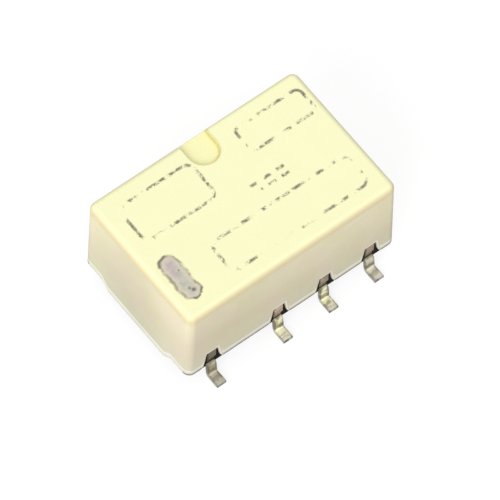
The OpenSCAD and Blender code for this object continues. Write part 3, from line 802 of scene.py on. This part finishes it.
def silver_finish(_):
    """Silver contact alloy, a little tarnished."""
    f = Finish("contact_silver")
    tarnish = f.clouds(0.09, 0.5, 0.72, detail=3)
    colour = f.mix(tarnish * 0.5, *SILVERS)
    normal = f.bump(f.noise(0.02), 0.0006)
    return f.surface(base_color=colour, metallic=1.0, roughness=0.2 + 0.2 * tarnish, normal=normal)


FINISHES = {
    "ivory_plastic": ivory_finish,
    "mark_ink": mark_finish,
    "base_plastic": base_finish,
    "resin": resin_finish,
    "tinned_copper": tin_finish,
    "bobbin_plastic": bobbin_finish,
    "copper_wire": copper_finish,
    "soft_iron": iron_finish,
    "magnet": magnet_finish,
    "carrier_plastic": carrier_finish,
    "spring_bronze": bronze_finish,
    "contact_silver": silver_finish,
}
made_finishes = {}


def finish_of(slot):
    """The material of one of the record's slots, made once."""
    if slot not in made_finishes:
        made_finishes[slot] = FINISHES[slot](bpy.context.scene.relay_colours)
    return made_finishes[slot]


def coat(node, slot):
    """Gives a frame node its finish."""
    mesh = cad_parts[node].data
    mesh.materials.clear()
    mesh.materials.append(finish_of(slot))


def merged_copy(node):
    """A frame node's shape as a closed mesh with flat faces in one piece."""
    bm = bmesh.new()
    bm.from_mesh(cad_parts[node].data)
    bmesh.ops.remove_doubles(bm, verts=bm.verts[:], dist=NARROW)
    bmesh.ops.recalc_face_normals(bm, faces=bm.faces[:])
    bmesh.ops.dissolve_limit(bm, angle_limit=math.radians(FLAT), verts=bm.verts[:],
                             edges=bm.edges[:])
    return bm


def anywhere(_):
    """Keeps every edge."""
    return True


def sharp_edges(bm, keep=anywhere):
    """Edges of a mesh that turn by more than SHARP degrees, where keep agrees."""
    bm.normal_update()
    return [
        e for e in bm.edges
        if e.is_manifold and e.calc_face_angle() > math.radians(SHARP)
        and keep((e.verts[0].co + e.verts[1].co) / (2 * MM))
    ]


def put_in_order(bm):
    """Puts a mesh's faces in the order of their corners, since a bevel's order changes by run."""
    bm.verts.index_update()
    faces = sorted(bm.faces, key=lambda face: sorted(vert.index for vert in face.verts))
    ranks = {face: rank for rank, face in enumerate(faces)}
    bm.faces.sort(key=ranks.get)


def round_edges(bm, edges, micrometres):
    """Rounds some edges of a mesh."""
    bmesh.ops.bevel(
        bm, geom=edges, offset=micrometres * MICROMETRE, offset_type="OFFSET", affect="EDGES",
        segments=BEVEL_STEPS, profile=0.5, material=-1, clamp_overlap=False)
    bmesh.ops.remove_doubles(bm, verts=bm.verts[:], dist=NARROW)
    put_in_order(bm)


def piece(bm, name, body, slot, *nodes):
    """Turns a mesh into a finished piece that stands for frame nodes."""
    for edge in sharp_edges(bm):
        edge.smooth = False
    mesh = bpy.data.meshes.new(name)
    bm.to_mesh(mesh)
    bm.free()
    mesh.shade_smooth()
    made = bpy.data.objects.new(name, mesh)
    bpy.context.scene.collection.objects.link(made)
    made.data.materials.append(finish_of(slot))
    weighted = made.modifiers.new("even_normals", "WEIGHTED_NORMAL")
    weighted.keep_sharp = True
    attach(made, body)
    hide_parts(*nodes)
    return made


def closed_piece(node, name, body, slot):
    """A small round frame node's shape without the narrow faces at its domes' tops."""
    bm = merged_copy(node)
    bmesh.ops.dissolve_degenerate(bm, edges=bm.edges[:], dist=NARROW)
    return piece(bm, name, body, slot, node)


def rounded_piece(node, name, body, slot, micrometres, keep=anywhere):
    """A frame node's shape with its sharp edges rounded, where keep agrees."""
    bm = merged_copy(node)
    round_edges(bm, sharp_edges(bm, keep), micrometres)
    return piece(bm, name, body, slot, node)


class RELAY_OT_case(bpy.types.Operator):
    """Makes the case, with its rim, notches and gate recess rounded"""

    bl_idname = "relay.case"
    bl_label = "Case"

    def execute(self, context):
        sizes = context.scene.relay_sizes
        bm = merged_copy("cover")
        round_edges(bm, sharp_edges(bm, lambda point: point.z < RIM_TOP_Z), sizes.rim)
        gate = sharp_edges(bm, lambda point: point.z > TOP_Z - GATE_D and point.y > GATE_Y)
        round_edges(bm, [e for e in gate if e.calc_face_angle_signed() > 0], sizes.gate_edge)
        piece(bm, "case_shell", HOUSING, "ivory_plastic", "cover")
        return {"FINISHED"}


class RELAY_OT_mark(bpy.types.Operator):
    """Finishes the printed polarity mark"""

    bl_idname = "relay.mark"
    bl_label = "Polarity mark"

    def execute(self, context):
        coat("polarity_mark", "mark_ink")
        return {"FINISHED"}


class RELAY_OT_terminals(bpy.types.Operator):
    """Makes the eight plated terminals with rounded edges"""

    bl_idname = "relay.terminals"
    bl_label = "Terminals"

    def execute(self, context):
        for side in SIDES:
            for pole in POLES:
                node = f"{side}_{pole}_terminal"
                rounded_piece(node, f"{node}_strip", HOUSING, "tinned_copper",
                              context.scene.relay_sizes.strip_edge)
        return {"FINISHED"}


class RELAY_OT_base(bpy.types.Operator):
    """Makes the moulded base and finishes the sealing resin"""

    bl_idname = "relay.base"
    bl_label = "Base and resin"

    def execute(self, context):
        def low_or_high(point):
            """The lugs' and sides' lower edges, and the ends' and the posts' upper ones."""
            low = point.z < BASE_SIDE_Z and abs(point.y) > BASE_SIDE_Y
            return low or (point.z > BASE_TOP_Z and abs(point.x) > BASE_MIDDLE_X)

        rounded_piece("base", "base_moulding", HOUSING, "base_plastic",
                      context.scene.relay_sizes.moulded_edge, low_or_high)
        coat("sealing_resin", "resin")
        return {"FINISHED"}


class RELAY_OT_coil(bpy.types.Operator):
    """Makes the bobbin and the coil's wire ends and finishes the winding"""

    bl_idname = "relay.coil"
    bl_label = "Coil"

    def execute(self, context):
        rounded_piece("bobbin", "bobbin_moulding", HOUSING, "bobbin_plastic",
                      context.scene.relay_sizes.moulded_edge)
        coat("coil_winding", "copper_wire")
        for side in SIDES:
            lead = f"{side}_coil_lead"
            closed_piece(lead, f"{lead}_wire", HOUSING, "copper_wire")
        return {"FINISHED"}


class RELAY_OT_iron(bpy.types.Operator):
    """Makes the core and the magnet"""

    bl_idname = "relay.iron"
    bl_label = "Core and magnet"

    def execute(self, context):
        edge = context.scene.relay_sizes.iron_edge
        rounded_piece("core", "core_bar", HOUSING, "soft_iron", edge)
        rounded_piece("permanent_magnet", "magnet_block", HOUSING, "magnet", edge)
        return {"FINISHED"}


class RELAY_OT_rocker(bpy.types.Operator):
    """Makes the armature and its carrier and finishes the contact springs"""

    bl_idname = "relay.rocker"
    bl_label = "Rocker"

    def execute(self, context):
        def off_the_slots(point):
            """Leaves out the thin skins over the springs' slots."""
            return abs(point.x) < CARRIER_SKIN_X or abs(point.y) < CARRIER_SKIN_Y

        sizes = context.scene.relay_sizes
        rounded_piece("armature", "armature_plate", ROCKER, "soft_iron", sizes.iron_edge)
        rounded_piece("armature_carrier", "carrier_moulding", ROCKER, "carrier_plastic",
                      sizes.moulded_edge, off_the_slots)
        for side in SIDES:
            coat(f"{side}_spring", "spring_bronze")
        return {"FINISHED"}


class RELAY_OT_contacts(bpy.types.Operator):
    """Makes the moving contacts and finishes the fixed ones"""

    bl_idname = "relay.contacts"
    bl_label = "Contacts"

    def execute(self, context):
        for side in SIDES:
            for contact in CONTACTS:
                moving = f"{side}_{contact}_moving_contacts"
                closed_piece(moving, f"{moving}_points", ROCKER, "contact_silver")
                coat(f"{side}_{contact}_fixed_contact", "contact_silver")
        return {"FINISHED"}


def floor_finish():
    """A pale floor that shows white to the camera and keeps a soft shadow."""
    f = Finish("studio_floor")
    paper = f.mix(f.noise(3.0), *FLOOR_GREYS)
    diffuse = f.node("ShaderNodeBsdfDiffuse", {}, {"Color": paper})
    glow = f.node("ShaderNodeEmission", {},
                  {"Color": (1, 1, 1), "Strength": f.seen() * FLOOR_GLOW})
    return f.end(f.node("ShaderNodeAddShader", {}, {0: diffuse, 1: glow}))


class RELAY_OT_studio(bpy.types.Operator):
    """Makes the floor, the lights and the camera"""

    bl_idname = "relay.studio"
    bl_label = "Studio"

    def execute(self, context):
        scene, studio = context.scene, context.scene.relay_studio
        self.add_floor(scene)
        self.add_lights(scene, studio)
        self.add_camera(scene, studio)
        scene.view_settings.view_transform = "Standard"
        return {"FINISHED"}

    @staticmethod
    def add_floor(scene):
        """Lays the floor under the feet."""
        bm = bmesh.new()
        bmesh.ops.create_grid(bm, x_segments=1, y_segments=1, size=FLOOR_HALF)
        mesh = bpy.data.meshes.new("studio_floor")
        bm.to_mesh(mesh)
        bm.free()
        floor = bpy.data.objects.new("studio_floor", mesh)
        floor.data.materials.append(floor_finish())
        scene.collection.objects.link(floor)

    @staticmethod
    def add_lights(scene, studio):
        """Makes a sky that looks white and lights at its own level, and a soft lamp."""
        world = bpy.data.worlds.new("studio_sky")
        world.use_nodes = True
        scene.world = world
        sky = Nodes(world.node_tree)
        level = sky.node("ShaderNodeMapRange", {},
                         {"Value": sky.seen(), "To Min": studio.sky, "To Max": 1.0})
        background = sky.node("ShaderNodeBackground", {}, {"Color": (1, 1, 1), "Strength": level})
        sky.node("ShaderNodeOutputWorld", {}, {"Surface": background})

        lamp = bpy.data.lights.new("soft_lamp", "SUN")
        lamp.energy = studio.lamp * math.pi
        lamp.angle = math.radians(LAMP_WIDTH)
        made = bpy.data.objects.new("soft_lamp", lamp)
        made.rotation_mode = "QUATERNION"
        made.rotation_quaternion = Vector(LAMP_FROM).to_track_quat("Z", "Y")
        scene.collection.objects.link(made)

    @staticmethod
    def add_camera(scene, studio):
        """Puts the camera where the photograph was taken from."""
        a, e, r = studio.azimuth, studio.elevation, studio.roll
        back = Vector((math.cos(e) * math.sin(a), -math.cos(e) * math.cos(a), math.sin(e)))
        level = Vector((math.cos(a), math.sin(a), 0))
        upright = back.cross(level)
        right = math.cos(r) * level + math.sin(r) * upright
        up = math.cos(r) * upright - math.sin(r) * level
        aim = Vector((0, 0, TOP_Z / 2))
        off_x = (PHOTO_PX / 2 - AIM_PX[0]) / studio.scale
        off_y = (PHOTO_PX / 2 - AIM_PX[1]) / studio.scale
        place = aim + right * off_x - up * off_y + back * studio.distance
        camera = bpy.data.cameras.new("photo_camera")
        camera.sensor_width = SENSOR
        camera.lens = SENSOR * studio.scale * studio.distance / PHOTO_PX
        camera.clip_start = studio.distance * MM * CLIP_NEAR
        camera.clip_end = studio.distance * MM * CLIP_FAR
        made = bpy.data.objects.new("photo_camera", camera)
        turn = Matrix((right, up, back)).transposed()
        made.matrix_world = Matrix.Translation(place * MM) @ turn.to_4x4()
        scene.collection.objects.link(made)
        scene.camera = made


OPERATORS = (
    RELAY_OT_case,
    RELAY_OT_mark,
    RELAY_OT_terminals,
    RELAY_OT_base,
    RELAY_OT_coil,
    RELAY_OT_iron,
    RELAY_OT_rocker,
    RELAY_OT_contacts,
    RELAY_OT_studio,
)
GROUPS = {
    "relay_sizes": RelaySizes,
    "relay_colours": RelayColours,
    "relay_studio": RelayStudio,
}


class RELAY_PT_panel(bpy.types.Panel):
    """Lists the relay's pieces and its values"""

    bl_idname = "RELAY_PT_panel"
    bl_label = "Signal relay"
    bl_space_type = "VIEW_3D"
    bl_region_type = "UI"
    bl_category = "Relay"

    def draw(self, context):
        for name, group in GROUPS.items():
            box = self.layout.box()
            for prop in group.__annotations__:
                box.prop(getattr(context.scene, name), prop)
        for operator in OPERATORS:
            self.layout.operator(operator.bl_idname)


CLASSES = (*GROUPS.values(), *OPERATORS, RELAY_PT_panel)


def register():
    """Adds the classes, and the values to each scene."""
    for made in CLASSES:
        bpy.utils.register_class(made)
    for name, group in GROUPS.items():
        setattr(bpy.types.Scene, name, bpy.props.PointerProperty(type=group))


def unregister():
    """Takes them away again."""
    for name in GROUPS:
        delattr(bpy.types.Scene, name)
    for made in reversed(CLASSES):
        bpy.utils.unregister_class(made)


def main():
    """Builds every piece and the studio."""
    register()
    for operator in OPERATORS:
        area, name = operator.bl_idname.split(".")
        getattr(getattr(bpy.ops, area), name)()


if __name__ == "__main__":
    main()
